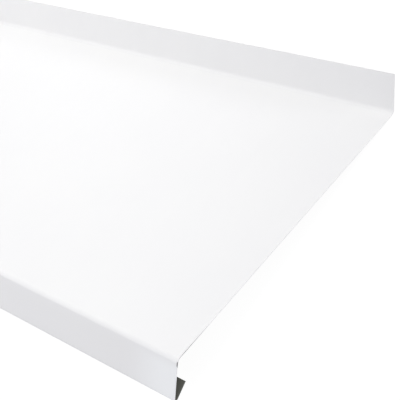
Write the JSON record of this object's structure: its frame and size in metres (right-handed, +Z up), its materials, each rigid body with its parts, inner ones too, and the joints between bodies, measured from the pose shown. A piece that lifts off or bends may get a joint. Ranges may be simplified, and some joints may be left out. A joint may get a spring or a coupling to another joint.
{
  "type": "parapet coping",
  "caption": "Length of thin white-coated sheet folded as a wall coping: flat deck, low upstand along one edge, leaning fascia along the other with a return folded up and back as a drip.",
  "frame": {"origin": "on the floor, at the bottom centre of the coping's bounding box as it lies at rest", "axes": "+X along the coping's length, +Y from the fascia at the front to the upstand at the back, +Z up"},
  "size_m": [1.25, 0.2678, 0.0296],
  "materials": {
    "white_coat": "satin"
  },
  "bodies": {
    "root": {"coping_sheet": "white_coat"}
  },
  "joints": []
}
